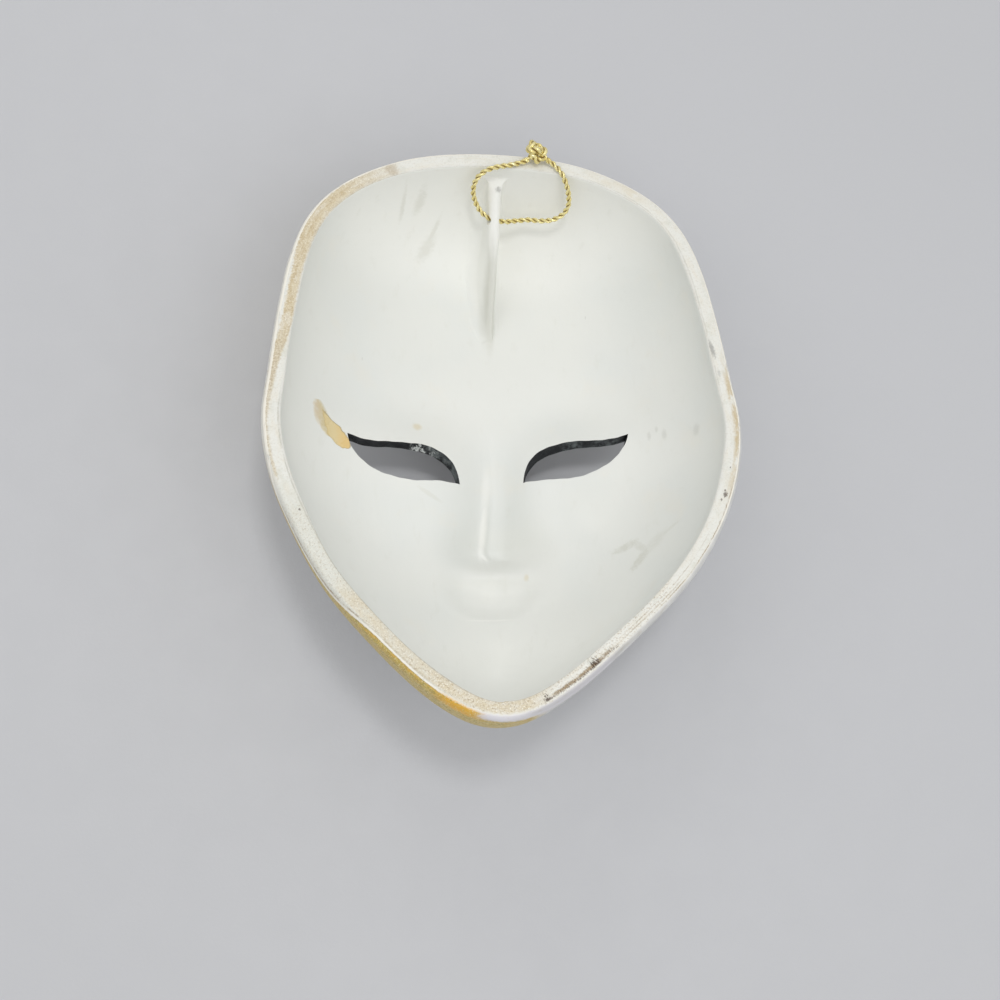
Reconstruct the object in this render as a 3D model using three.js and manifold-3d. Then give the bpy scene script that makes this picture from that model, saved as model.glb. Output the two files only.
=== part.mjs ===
// A small hollow ceramic face mask, lying face down with its hollow up.
// Everything is modelled in the mask's own frame, in millimetres: u to the right as
// the hollow is looked into, v to the forehead, w up out of the hollow, with w = 0 on
// the flat of the rim. The whole is then tilted on to its nose and forehead.

import * as THREE from "three";
import { mergeVertices } from "three/addons/utils/BufferGeometryUtils.js";
import Module from "manifold-3d";

const wasm = await Module();
wasm.setup();

// Outline of the widest part of the wall, right half, from the chin to the crown
const HALF_OUTLINE = [
  [0, -45.5], [6, -44.4], [14.5, -39.5], [27, -28.4], [38, -16.4], [45.4, -4],
  [49.6, 7], [51.4, 18], [50.4, 30], [48.7, 45], [46.4, 58], [43, 67.5],
  [37.8, 74.5], [29.8, 80.3], [17.8, 85], [0, 86.8],
];
const CHIN_V = -45.5;
const CROWN_V = 86.8;
const WIDEST_V = 18;
const CHIN_SHIFT = -3;      // the chin leans a little to one side
const CHIN_SHIFT_TOP = -1;  // the lean starts at this height

// Wall, rim and depth of the face
const RIM_WIDTH = 4.2;
const SHOULDER_INSET = 1.25;  // rounding of the rim's outer edge, across the rim
const SHOULDER_DEPTH = 2.4;   // and down the wall
const LIP_INSET = 0.35;       // small break of the rim's inner edge
const LIP_DEPTH = 0.5;
const FACE_DEPTH = 31;        // forehead and cheeks below the rim
const HOLLOW_DEPTH = 27.4;    // the same, on the inside
const DOME_FLATNESS = 2.7;    // how flat the floor of the dome is
const DOME_CORNER = 1.95;     // how square the wall turns into it

// Spine: the line under the nose and forehead that all rings of the face close on
const SPINE_LOW = -24;
const SPINE_MIDDLE = 10;      // at the widest place
const SPINE_HIGH = 61;
const SPINE_BEND = 1.5;       // gathers the rings' feet at the spine's two ends

// Heights of the features along the face
const BROW_V = 32;
const EYE_V = 19;
const CHEEK_V = 1;
const NOSE_ROOT_V = 30;
const NOSE_TIP_V = 2;
const NOSE_BASE_V = -5.5;
const UPPER_LIP_V = -9.6;
const MOUTH_V = -12;
const LOWER_LIP_V = -15.2;
const LIP_GROOVE_V = -20.5;
const CHIN_BOSS_V = -30;

// How far the features stand out on the face
const NOSE_HEIGHT = 14.2;
const BRIDGE_HEIGHT = 2.2;
const WING_HEIGHT = 4.4;
const BROW_HEIGHT = 2;
const SOCKET_DEPTH = 4.6;
const CHEEK_HEIGHT = 2.8;
const CHIN_HEIGHT = 3.2;
const FADE_FROM = 0.74;       // the features fade out between these two rings
const FADE_TO = 0.98;

// Eye hole on the right, mirrored for the left: two curves between its corners
const EYE_INNER = [7.3, 15.3];
const EYE_OUTER = [32.4, 25.5];
const EYE_TOP_PULLS = [[9.5, 28.5], [24, 21.5]];
const EYE_LOW_PULLS = [[30.5, 16.5], [18, 13.4]];
const EYE_STAGGER = 0.6;    // the right hole is cut this much higher, the left lower
const EYE_STEPS = 9;

// Hanging fin inside the forehead
const FIN_THICKNESS = 2.3;
const FIN_TOP = [82.5, -2.4];   // where its free edge leaves the rim's wall
const FIN_FOOT = [52, -29.8];   // where it runs out in the forehead's floor
const FIN_ROOT = 2;             // how deep its back is sunk in the wall
const FIN_HOLE = [76, -11.4];
const FIN_HOLE_RADIUS = 1.25;

// Cord: hand-placed route from the knot, through the fin and back to the knot
const CORD_RADIUS = 0.6;
const CORD_SIDES = 8;
const CORD_STEPS = 30;
const CORD_ROUTE = [
  [7.4, 84.0, 1.25], [5.6, 83.4, 0.95], [3.0, 82.5, 0.95], [0.1, 81.9, 0.9],
  [-2.4, 81.1, 0.5], [-4.1, 80.3, -0.8], [-4.9, 79.7, -2.6], [-5.0, 79.0, -4.8],
  [-4.5, 78.4, -7.0], [-3.4, 77.6, -9.1], [-1.7, 76.7, -10.7], [0.5, 76.0, -11.4],
  [3.2, 76.0, -12.0], [6.1, 76.6, -12.3], [9.2, 77.0, -12.3], [12.1, 76.6, -11.9],
  [14.8, 76.4, -10.8], [16.8, 76.8, -9.0], [17.6, 77.5, -6.4], [17.2, 78.3, -3.6],
  [16.2, 79.4, -0.9], [14.9, 81.0, 0.9], [13.4, 82.9, 1.1], [11.6, 84.0, 1.6],
];
const KNOT_CENTRE = [9.1, 86.0, 2.75];
const KNOT_RADII = [2.3, 2.0, 2.1];

// Lying face down: tilt of the rim, and height of the rim's frame above the ground
const REST_TILT = THREE.MathUtils.degToRad(11.8);
const REST_HEIGHT = 44;
const REST_SHIFT = -19.265;

// Fineness of the faceted wall
const LOW_STEPS = 4;
const HIGH_STEPS = 2;
const OUTER_RINGS = 22;
const INNER_RINGS = 15;
const SHOULDER_RINGS = 3;
const RING_SPREAD = 1.25;

function smooth(from, to, x) {
  return THREE.MathUtils.smoothstep((x - from) / (to - from), 0, 1);
}

function bell(distance, radius) {
  return Math.exp(-((distance / radius) ** 2));
}

// Depth of the plain dome at ring s: 0 on the spine, 1 at the rim
function dome(s, depth, lip) {
  return lip + (depth - lip) * (1 - s ** DOME_FLATNESS) ** (1 / DOME_CORNER);
}

// Height that the features add outwards; soft is 0 on the face and 1 on its inside,
// where the casting shows the same forms wider and lower
function features(u, v, soft) {
  const side = Math.abs(u);
  const browLine = BROW_V + 2.2 * smooth(4, 24, side) - 4.5 * smooth(24, 44, side);
  let height = 1.6 * bell(u, 30) * bell(v - 52, 20);
  height += (BROW_HEIGHT - 0.8 * soft) * bell(v - browLine, 4.5 + 2 * soft)
    * (1 - 0.5 * bell(u, 7)) * (1 - smooth(30, 44, side));
  height -= (SOCKET_DEPTH - 1.8 * soft) * bell(side - 19, 13)
    * bell(v - EYE_V - 0.2 * (side - 19), 9);
  height += (CHEEK_HEIGHT - 0.8 * soft) * bell(side - 29, 11) * bell(v - CHEEK_V, 10);
  height -= (1.8 - 0.4 * soft) * bell(side - 25, 9) * bell(v + 17, 10);
  return height + nose(u, v, soft) + mouth(u, v, soft);
}

function nose(u, v, soft) {
  const face = 1 - soft;
  const side = Math.abs(u);
  const along = Math.max((NOSE_ROOT_V - v) / (NOSE_ROOT_V - NOSE_TIP_V), 0);
  const drop = smooth(NOSE_BASE_V - 2.5 - soft, NOSE_TIP_V + 3.5 + soft, v);
  const halfWidth = 4.9 + 2 * Math.min(along, 1.1) ** 1.5 - 0.3 * soft;
  const ridge = (NOSE_HEIGHT - 5.4 * soft) * along ** 1.35 * drop
    * Math.exp(-((side / halfWidth) ** 2.3));
  const bridge = (BRIDGE_HEIGHT - 0.9 * soft) * bell(v - 24, 9) * bell(u, 6.5 + soft);
  const tip = 0.9 * face * bell(u, 5) * bell(v - NOSE_TIP_V - 0.5, 4.5);
  const wing = (WING_HEIGHT - 3 * soft) * bell(side - 7.6, 3.2 + 1.4 * soft)
    * bell(v - NOSE_TIP_V + 2.6, 4.6 + soft);
  const nostril = 1.5 * face * bell(side - 3.9, 1.9) * bell(v - NOSE_BASE_V - 0.4, 1.9);
  return ridge + bridge + tip + wing - nostril;
}

function mouth(u, v, soft) {
  const face = 1 - soft;
  const side = Math.abs(u);
  const curve = 0.01 * u * u;
  const bow = 1 - 0.25 * face * bell(u, 2.1);
  let height = 3.4 * bell(u, 17) * bell(v - MOUTH_V, 11);
  height += (2.4 - 1.3 * soft) * bell(v - UPPER_LIP_V + 0.25 * curve, 2.2 + 1.3 * soft)
    * (1 - smooth(6, 15, side)) * bow;
  height += (3 - 1.4 * soft) * bell(v - LOWER_LIP_V - curve, 2.7 + 1.3 * soft)
    * (1 - smooth(4, 13, side));
  height -= (1.7 - 1.3 * soft) * bell(v - MOUTH_V - 0.5 * curve, 1 + soft)
    * (1 - smooth(8, 15.5, side));
  height -= (1.7 - 0.7 * soft) * bell(v - LIP_GROOVE_V - curve, 3.4) * bell(u, 11);
  height += CHIN_HEIGHT * bell(u, 10.5) * bell(v - CHIN_BOSS_V, 6.5);
  return height;
}

function faceDepth(u, v, s) {
  return dome(s, FACE_DEPTH, SHOULDER_DEPTH) + features(u, v, 0) * (1 - smooth(FADE_FROM, FADE_TO, s));
}

function hollowDepth(u, v, s) {
  return dome(s, HOLLOW_DEPTH, LIP_DEPTH) + features(u, v, 1) * (1 - smooth(FADE_FROM, FADE_TO, s));
}

// Where on the spine the rings below an outline point close
function spineFoot(v) {
  if (v <= WIDEST_V) {
    const up = (v - CHIN_V) / (WIDEST_V - CHIN_V);
    return SPINE_LOW + (SPINE_MIDDLE - SPINE_LOW) * up ** SPINE_BEND;
  }
  const down = (CROWN_V - v) / (CROWN_V - WIDEST_V);
  return SPINE_HIGH - (SPINE_HIGH - SPINE_MIDDLE) * down ** SPINE_BEND;
}

// Points round the outline, each with its outward direction, its foot on the spine
// and the sideways lean of the chin
function outlinePoints() {
  const half = HALF_OUTLINE.map(([u, v]) => new THREE.Vector3(u, v, 0));
  const mirrored = HALF_OUTLINE.slice(1, -1).reverse().map(([u, v]) => new THREE.Vector3(-u, v, 0));
  const corners = [...half, ...mirrored];
  const curve = new THREE.CatmullRomCurve3(corners, true, "centripetal");
  const places = [];
  corners.forEach((corner, i) => {
    const next = corners[(i + 1) % corners.length];
    const steps = Math.max(corner.y, next.y) <= WIDEST_V ? LOW_STEPS : HIGH_STEPS;
    for (let j = 0; j < steps; j += 1) {
      places.push(curve.getPoint((i + j / steps) / corners.length));
    }
  });
  return places.map((place, i) => {
    const before = places.at(i - 1);
    const after = places[(i + 1) % places.length];
    const along = new THREE.Vector3().subVectors(after, before).normalize();
    return {
      place,
      out: new THREE.Vector3(along.y, -along.x, 0),
      foot: spineFoot(place.y),
      lean: CHIN_SHIFT * smooth(CHIN_SHIFT_TOP, CHIN_V, place.y),
    };
  });
}

// One ring of points, at ring s of an outline that is inset by some millimetres
function ring(points, s, inset, depthAt) {
  return points.map(({ place, out, foot, lean }) => {
    const rimU = place.x - inset * out.x;
    const rimV = place.y - inset * out.y;
    const u = rimU * s;
    const v = foot + (rimV - foot) * s;
    return [u + lean * s, v, -depthAt(u, v, s)];
  });
}

function ringShare(i, count) {
  return Math.sin(i / count * Math.PI / 2) ** RING_SPREAD;
}

// Closed wall: over the face from the spine to the rim, round the rim, and down the
// hollow to the spine again
function wallGeometry() {
  const points = outlinePoints();
  const rings = [];
  for (let i = 0; i <= OUTER_RINGS; i += 1) {
    rings.push(ring(points, ringShare(i, OUTER_RINGS), 0, faceDepth));
  }
  for (let i = 1; i <= SHOULDER_RINGS; i += 1) {
    const turn = i / SHOULDER_RINGS * Math.PI / 2;
    const inset = SHOULDER_INSET * (1 - Math.cos(turn));
    const depth = SHOULDER_DEPTH * (1 - Math.sin(turn));
    rings.push(ring(points, 1, inset, () => depth));
  }
  rings.push(ring(points, 1, RIM_WIDTH - LIP_INSET, () => 0));
  for (let i = INNER_RINGS; i >= 0; i -= 1) {
    rings.push(ring(points, ringShare(i, INNER_RINGS), RIM_WIDTH, hollowDepth));
  }
  const count = points.length;
  const triangles = [];
  for (let i = 0; i + 1 < rings.length; i += 1) {
    for (let k = 0; k < count; k += 1) {
      const next = (k + 1) % count;
      triangles.push(rings[i][k], rings[i][next], rings[i + 1][k]);
      triangles.push(rings[i][next], rings[i + 1][next], rings[i + 1][k]);
    }
  }
  const geometry = new THREE.BufferGeometry();
  geometry.setAttribute("position", new THREE.Float32BufferAttribute(triangles.flat(), 3));
  return geometry;
}

function toSolid(geometry) {
  const bare = geometry.clone();
  bare.deleteAttribute("normal");
  bare.deleteAttribute("uv");
  const merged = mergeVertices(bare, 1e-3);
  const index = merged.index.array;
  const kept = [];
  for (let i = 0; i < index.length; i += 3) {
    const [a, b, c] = [index[i], index[i + 1], index[i + 2]];
    if (a !== b && b !== c && c !== a) kept.push(a, b, c);
  }
  return new wasm.Manifold(new wasm.Mesh({
    numProp: 3,
    vertProperties: Float32Array.from(merged.attributes.position.array),
    triVerts: Uint32Array.from(kept),
  }));
}

function toGeometry(solid) {
  const { vertProperties, triVerts, numProp } = solid.getMesh();
  const geometry = new THREE.BufferGeometry();
  const positions = new Float32Array(vertProperties.length / numProp * 3);
  for (let i = 0; i < positions.length / 3; i += 1) {
    positions.set(vertProperties.subarray(i * numProp, i * numProp + 3), i * 3);
  }
  geometry.setAttribute("position", new THREE.BufferAttribute(positions, 3));
  geometry.setIndex(new THREE.BufferAttribute(Uint32Array.from(triVerts), 1));
  geometry.computeVertexNormals();
  return geometry;
}

// A straight cut through the wall in the shape of one eye; side is 1 or -1
function eyeCutter(side) {
  const lift = side * EYE_STAGGER;
  const at = ([u, v]) => [u * side, v + lift];
  const shape = new THREE.Shape();
  shape.moveTo(...at(EYE_INNER));
  shape.bezierCurveTo(...at(EYE_TOP_PULLS[0]), ...at(EYE_TOP_PULLS[1]), ...at(EYE_OUTER));
  shape.bezierCurveTo(...at(EYE_LOW_PULLS[0]), ...at(EYE_LOW_PULLS[1]), ...at(EYE_INNER));
  const reach = FACE_DEPTH + 20;
  const geometry = new THREE.ExtrudeGeometry(shape, {
    depth: reach, bevelEnabled: false, curveSegments: EYE_STEPS,
  });
  return toSolid(geometry.translate(0, 0, -reach - 5));
}

// The fin's plate, cut to the corner between the forehead and the rim's wall
function finSolid() {
  const floor = -HOLLOW_DEPTH - FIN_ROOT - 1.8;
  const back = CROWN_V - RIM_WIDTH + FIN_ROOT;
  const shape = new THREE.Shape();
  shape.moveTo(FIN_FOOT[0], FIN_FOOT[1]);
  shape.lineTo(FIN_TOP[0], FIN_TOP[1]);
  shape.lineTo(back, FIN_TOP[1]);
  shape.lineTo(back - 1, -14);
  shape.lineTo(back - 6, -23.5);
  shape.lineTo(back - 14, floor + 1.2);
  shape.lineTo(FIN_FOOT[0], floor);
  const plate = new THREE.ExtrudeGeometry(shape, { depth: FIN_THICKNESS, bevelEnabled: false });
  plate.translate(0, 0, -FIN_THICKNESS / 2);
  // the shape's axes are v and w: turn them into place, with the thickness along u
  plate.applyMatrix4(new THREE.Matrix4().makeBasis(
    new THREE.Vector3(0, 1, 0), new THREE.Vector3(0, 0, 1), new THREE.Vector3(1, 0, 0),
  ));
  return toSolid(plate);
}

function finHole() {
  const bore = new THREE.CylinderGeometry(FIN_HOLE_RADIUS, FIN_HOLE_RADIUS, 12, 20);
  bore.rotateZ(Math.PI / 2).translate(0, FIN_HOLE[0], FIN_HOLE[1]);
  return toSolid(bore);
}

// The flat spots that the mask lies on: all that would reach below the ground
function groundCut() {
  const slab = new THREE.BoxGeometry(200, 300, 40);
  slab.translate(0, 0, -20 - REST_HEIGHT).rotateX(REST_TILT);
  return toSolid(slab);
}

function shellGeometry() {
  const solid = toSolid(wallGeometry())
    .add(finSolid())
    .subtract(finHole())
    .subtract(eyeCutter(1))
    .subtract(eyeCutter(-1))
    .subtract(groundCut());
  return toGeometry(solid);
}

function cordGeometry() {
  const route = new THREE.CatmullRomCurve3(CORD_ROUTE.map((point) => new THREE.Vector3(...point)));
  const section = new THREE.Shape();
  section.absarc(0, 0, CORD_RADIUS, 0, Math.PI * 2);
  return new THREE.ExtrudeGeometry(section, {
    steps: CORD_STEPS, extrudePath: route, curveSegments: CORD_SIDES / 2,
  });
}

function knotGeometry() {
  const knot = new THREE.SphereGeometry(1, 14, 9);
  return knot.scale(...KNOT_RADII);
}

const ceramic = new THREE.MeshStandardMaterial({ color: 0xe6e7e1, roughness: 0.5, metalness: 0 });
const gilt = new THREE.MeshStandardMaterial({ color: 0xc9a43c, roughness: 0.35, metalness: 0.6 });

function named(name, geometry, material) {
  const mesh = new THREE.Mesh(geometry, material);
  mesh.name = name;
  return mesh;
}

const shell = named("mask_shell", shellGeometry(), ceramic);
const cord = named("hanging_cord", cordGeometry(), gilt);
const knot = named("cord_knot", knotGeometry(), gilt);
knot.position.set(...KNOT_CENTRE);

const tilted = new THREE.Group();
tilted.add(shell, cord, knot);
tilted.rotation.x = -REST_TILT;
tilted.position.set(0, REST_SHIFT, REST_HEIGHT);

const mask = new THREE.Group();
mask.add(tilted);

export default mask;
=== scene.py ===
# A small hollow ceramic wall mask lying face down, seen into its hollow.
# The mask's own frame: u to the right, v to the forehead, w up out of the hollow,
# in millimetres, with w = 0 on the flat of the rim. toRow turns it into the row frame.
import math

import bmesh
import bpy
import numpy as np
from mathutils import Matrix, Vector


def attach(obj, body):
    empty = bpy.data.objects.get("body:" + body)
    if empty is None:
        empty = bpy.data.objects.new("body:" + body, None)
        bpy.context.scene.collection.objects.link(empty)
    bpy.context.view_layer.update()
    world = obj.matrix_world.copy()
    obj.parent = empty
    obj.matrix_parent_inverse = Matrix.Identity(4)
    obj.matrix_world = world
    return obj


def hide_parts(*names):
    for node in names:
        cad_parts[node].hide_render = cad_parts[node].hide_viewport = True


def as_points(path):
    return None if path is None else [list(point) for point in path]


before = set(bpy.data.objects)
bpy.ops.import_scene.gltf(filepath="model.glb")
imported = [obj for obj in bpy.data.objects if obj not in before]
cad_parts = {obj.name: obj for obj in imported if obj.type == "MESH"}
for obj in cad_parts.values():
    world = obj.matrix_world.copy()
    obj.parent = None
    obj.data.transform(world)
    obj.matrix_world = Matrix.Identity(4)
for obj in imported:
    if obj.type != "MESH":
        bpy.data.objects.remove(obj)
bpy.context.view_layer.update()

resting = {
    "tilt": 11.8,        # degrees, from the rim's plane to the ground
    "shift": -19.265,    # mm along Y
    "height": 44.0,      # mm above the ground
}


def restTurn(sign=1.0):
    a = math.radians(resting["tilt"]) * sign
    return np.array([[1, 0, 0], [0, math.cos(a), math.sin(a)], [0, -math.sin(a), math.cos(a)]])


def toRow(points):
    moved = np.asarray(points, float) @ restTurn().T
    return (moved + [0, resting["shift"], resting["height"]]) / 1000


def smooth(low, high, x):
    t = np.clip((x - low) / (high - low), 0, 1)
    return t * t * (3 - 2 * t)


def bell(distance, radius):
    return np.exp(-(distance / radius) ** 2)


# Camera

photographView = {
    "lens": 45.0,
    "distance": 256.33,          # mm from the aim
    "down": 22.0,                # degrees towards the chin
    "aside": 7.638,              # degrees towards the left cheek
    "roll": -2.378,
    "aim": (-2.4, 0.0, 0.0),     # on the rim's plane
}


def makeCamera():
    view = photographView
    down, aside, roll = (math.radians(view[k]) for k in ("down", "aside", "roll"))
    back = np.array([-math.sin(aside), -math.sin(down) * math.cos(aside),
                     math.cos(down) * math.cos(aside)])
    right = np.cross(-back, [0, 1, 0])
    right /= np.linalg.norm(right)
    up = np.cross(right, -back)
    right, up = (right * math.cos(roll) + up * math.sin(roll),
                 up * math.cos(roll) - right * math.sin(roll))
    turn = restTurn()
    place = toRow(np.array(view["aim"]) + view["distance"] * back)
    camera = bpy.data.objects.new("photographCamera", bpy.data.cameras.new("photographCamera"))
    camera.data.lens = view["lens"]
    camera.data.clip_start = 0.01
    axes = [turn @ right, turn @ up, turn @ back]
    matrix = Matrix([[axes[c][r] for c in range(3)] + [place[r]] for r in range(3)]
                    + [[0, 0, 0, 1]])
    camera.matrix_world = matrix
    bpy.context.collection.objects.link(camera)
    bpy.context.scene.camera = camera


makeCamera()
print("camera placed")


# Mesh helpers

def addObject(name, vertices, faces, materials, faceMaterial=None, uv=None):
    # uv: a pair for each corner of each face
    mesh = bpy.data.meshes.new(name)
    mesh.from_pydata([tuple(p) for p in vertices], [], faces)
    for material in materials:
        mesh.materials.append(material)
    if faceMaterial is not None:
        mesh.polygons.foreach_set("material_index", np.asarray(faceMaterial, np.int32))
    layer = mesh.uv_layers.new(name="place")
    if uv is not None:
        layer.data.foreach_set("uv", np.asarray(uv, np.float32).ravel())
    mesh.polygons.foreach_set("use_smooth", np.ones(len(mesh.polygons), bool))
    mesh.update()
    obj = bpy.data.objects.new(name, mesh)
    bpy.context.collection.objects.link(obj)
    return obj


def ringFaces(rings, count):
    # quads between closed rings of so many points each
    faces = []
    for start in range(0, (rings - 1) * count, count):
        for k in range(count):
            j = (k + 1) % count
            faces.append((start + k, start + j, start + count + j, start + count + k))
    return faces


def closedTube(rings, count):
    last = (rings - 1) * count
    return ringFaces(rings, count) + [tuple(reversed(range(count))), tuple(range(last, last + count))]


def cornerPairs(leftU, leftV, rightU, rightV):
    # uv for the corners of ringFaces' quads, from arrays of rings by points
    pairs = [(leftU[:-1], leftV[:-1]), (rightU[:-1], rightV[:-1]),
             (rightU[1:], rightV[1:]), (leftU[1:], leftV[1:])]
    return np.stack([np.stack(pair, -1) for pair in pairs], 2).reshape(-1, 2)


def closeSeams(obj):
    # points that lie on each other become one, and the normals point out
    mesh = bmesh.new()
    mesh.from_mesh(obj.data)
    bmesh.ops.remove_doubles(mesh, verts=mesh.verts, dist=2e-6)
    bmesh.ops.dissolve_degenerate(mesh, edges=mesh.edges, dist=1e-7)
    openEdges = [e for e in mesh.edges if not e.is_manifold]
    print(f"{obj.name}: {len(mesh.faces)} faces, {len(openEdges)} open edges")
    bmesh.ops.recalc_face_normals(mesh, faces=mesh.faces)
    mesh.to_mesh(obj.data)
    mesh.free()
    return obj


def combine(obj, other, operation):
    modifier = obj.modifiers.new(operation, "BOOLEAN")
    modifier.operation = operation
    modifier.object = other
    modifier.solver = "EXACT"
    modifier.material_mode = "TRANSFER"
    depsgraph = bpy.context.evaluated_depsgraph_get()
    mesh = bpy.data.meshes.new_from_object(obj.evaluated_get(depsgraph))
    obj.modifiers.clear()
    obj.data = mesh
    bpy.data.objects.remove(other)


def smoothCurve(points, stepsPerStretch, closed=False):
    # centripetal spline through given points
    pts = np.array(points, float)
    n = len(pts)
    stretches = n if closed else n - 1
    if np.isscalar(stepsPerStretch):
        stepsPerStretch = [stepsPerStretch] * stretches
    out = []
    for i in range(stretches):
        b, c = pts[i], pts[(i + 1) % n]
        a = pts[(i - 1) % n] if closed or i > 0 else 2 * b - c
        d = pts[(i + 2) % n] if closed or i + 2 < n else 2 * c - b
        ab, bc, cd = (max(np.dot(q - p, q - p) ** 0.25, 1e-4) for p, q in ((a, b), (b, c), (c, d)))
        leave = ((b - a) / ab - (c - a) / (ab + bc) + (c - b) / bc) * bc
        arrive = ((c - b) / bc - (d - b) / (bc + cd) + (d - c) / cd) * bc
        t = (np.arange(stepsPerStretch[i]) / stepsPerStretch[i])[:, None]
        out.append((2 * b - 2 * c + leave + arrive) * t ** 3
                   + (3 * c - 3 * b - 2 * leave - arrive) * t ** 2 + leave * t + b)
    if not closed:
        out.append(pts[-1:])
    return np.vstack(out)


def evenSteps(path, step):
    lengths = np.linalg.norm(np.diff(path, axis=0), axis=1)
    along = np.concatenate([[0], np.cumsum(lengths)])
    count = max(2, int(round(along[-1] / step)) + 1)
    at = np.linspace(0, along[-1], count)
    return np.stack([np.interp(at, along, path[:, k]) for k in range(3)], 1), at


def carriedFrames(path):
    # side directions along a path that turn no more than they must
    tangent = np.gradient(path, axis=0)
    tangent /= np.linalg.norm(tangent, axis=1)[:, None]
    side = np.cross(tangent[0], [0.3, 0.2, 0.9])
    sides = []
    for t in tangent:
        side = side - np.dot(side, t) * t
        side = side / np.linalg.norm(side)
        sides.append(side)
    return np.array(sides), np.cross(tangent, sides)


# Materials

def rgb(code):
    # a hex colour, as the eye reads it, to the renderer's own scale
    levels = [int(code[k:k + 2], 16) / 255 for k in (0, 2, 4)]
    return tuple(((c + 0.055) / 1.055) ** 2.4 if c > 0.04 else c / 12.92 for c in levels) + (1.0,)


class Nodes:
    # one material's node tree, its colours by name, and short ways to add to it
    def __init__(self, name, colours):
        self.material = bpy.data.materials.new(name)
        self.material.use_nodes = True
        self.tree = self.material.node_tree
        self.shader = self.tree.nodes["Principled BSDF"]
        self.colours = {k: rgb(v) for k, v in colours.items()}

    def fill(self, socket, value):
        if isinstance(value, bpy.types.NodeSocket):
            self.tree.links.new(value, socket)
        else:
            socket.default_value = value

    def add(self, kind, inputs, **settings):
        # a new node, its sockets filled by name or number: gives its outputs
        node = self.tree.nodes.new("ShaderNode" + kind)
        for name, value in settings.items():
            setattr(node, name, value)
        for key, value in inputs.items():
            self.fill(node.inputs[key], value)
        return node.outputs

    def objectPlace(self):
        return self.add("TexCoord", {})["Object"]

    def maskPlace(self):
        # position in the mask's own frame, in mm
        shift = restTurn(-1) @ np.array([0, resting["shift"], resting["height"]])
        return self.add("Mapping", {
            "Vector": self.objectPlace(), "Scale": (1000, 1000, 1000), "Location": tuple(-shift),
            "Rotation": (math.radians(resting["tilt"]), 0, 0)})[0]

    def uvPlace(self, scale=1.0):
        x, y, _ = self.parts(self.add("UVMap", {}, uv_map="place")[0])
        return self.times(x, scale), self.times(y, scale)

    def parts(self, vector):
        return tuple(self.add("SeparateXYZ", {0: vector}))

    def join(self, x, y):
        return self.add("CombineXYZ", {0: x, 1: y})[0]

    def calc(self, kind, a, b=0.5, clamp=False):
        return self.add("Math", {0: a, 1: b}, operation=kind, use_clamp=clamp)[0]

    def chain(self, kind, values):
        total = values[0]
        for value in values[1:]:
            total = self.calc(kind, total, value)
        return total

    def times(self, *values):
        return self.chain("MULTIPLY", values)

    def plus(self, *values):
        return self.chain("ADD", values)

    def most(self, *values):
        return self.chain("MAXIMUM", values)

    def minus(self, a, b):
        return self.calc("SUBTRACT", a, b)

    def opposite(self, share):
        return self.minus(1.0, share)

    def apart(self, a, b):
        return self.calc("ABSOLUTE", self.minus(a, b))

    def uneven(self, value, noise, amount):
        return self.plus(value, self.times(self.minus(noise, 0.5), amount))

    def ramp(self, value, low, high, start=0.0, end=1.0, kind="SMOOTHSTEP"):
        return self.add("MapRange", {"Value": value, "From Min": low, "From Max": high,
                                     "To Min": start, "To Max": end}, interpolation_type=kind)[0]

    def within(self, value, low, high, soft=1.0):
        return self.times(self.ramp(value, low - soft / 2, low + soft / 2),
                          self.ramp(value, high + soft / 2, high - soft / 2))

    def line(self, value, centre, width):
        # 1 on the centre, 0 beyond half the width
        return self.ramp(self.apart(value, centre), width / 2, width / 8)

    def noise(self, place, size, detail=3.0, rough=0.55, stretch=None):
        # size is the size of its patches in the units of the place
        if stretch:
            place = self.add("Mapping", {"Vector": place, "Scale": stretch})[0]
        return self.add("TexNoise", {"Vector": place, "Scale": 1 / size, "Detail": detail,
                                     "Roughness": rough})[0]

    def mix(self, share, *pair):
        # each of the pair is a colour's name or a socket
        a, b = (self.colours[c] if isinstance(c, str) else c for c in pair)
        return self.add("Mix", {0: share, 6: a, 7: b}, data_type="RGBA")[2]

    def coats(self, under, *layers):
        # a layer is a colour, and the shares whose product is how far it covers
        for colour, *shares in layers:
            under = self.mix(self.times(*shares), under, colour)
        return under

    def local(self, place, origin, turn, size):
        # the place as seen from a mark: its origin, its turn in radians and its size
        return self.add("Mapping", {"Vector": place, "Location": (*origin, 0), "Rotation": (0, 0, turn),
                                    "Scale": (*size, 1)}, vector_type="TEXTURE")[0]

    def spot(self, place, centre, radii, turn=0.0, soft=0.4, ragged=0.0, grain=1.0):
        # an ellipse seen along w, 1 inside and 0 outside
        near = self.local(place, centre, math.radians(turn), radii)
        flat = self.add("VectorMath", {0: near, 1: (1, 1, 0)}, operation="MULTIPLY")[0]
        distance = self.add("VectorMath", {0: flat}, operation="LENGTH")["Value"]
        if ragged:
            distance = self.uneven(distance, self.noise(place, grain, 4), ragged)
        return self.ramp(distance, 1 + soft / 2, 1 - soft / 2)

    def spots(self, place, rows):
        return self.most(*[self.times(self.spot(place, *row[:-1]), row[-1]) for row in rows])

    def strokes(self, place, rows):
        # narrow spots, each from a start to an end
        found = []
        for start, end, width, *rest in rows:
            dx, dy = end[0] - start[0], end[1] - start[1]
            found.append((((start[0] + end[0]) / 2, (start[1] + end[1]) / 2),
                          (math.hypot(dx, dy) / 2, width / 2), math.degrees(math.atan2(dy, dx)), *rest))
        return self.spots(place, found)

    def tongue(self, place, start, end, halfWidths, ragged, bend, soft):
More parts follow.
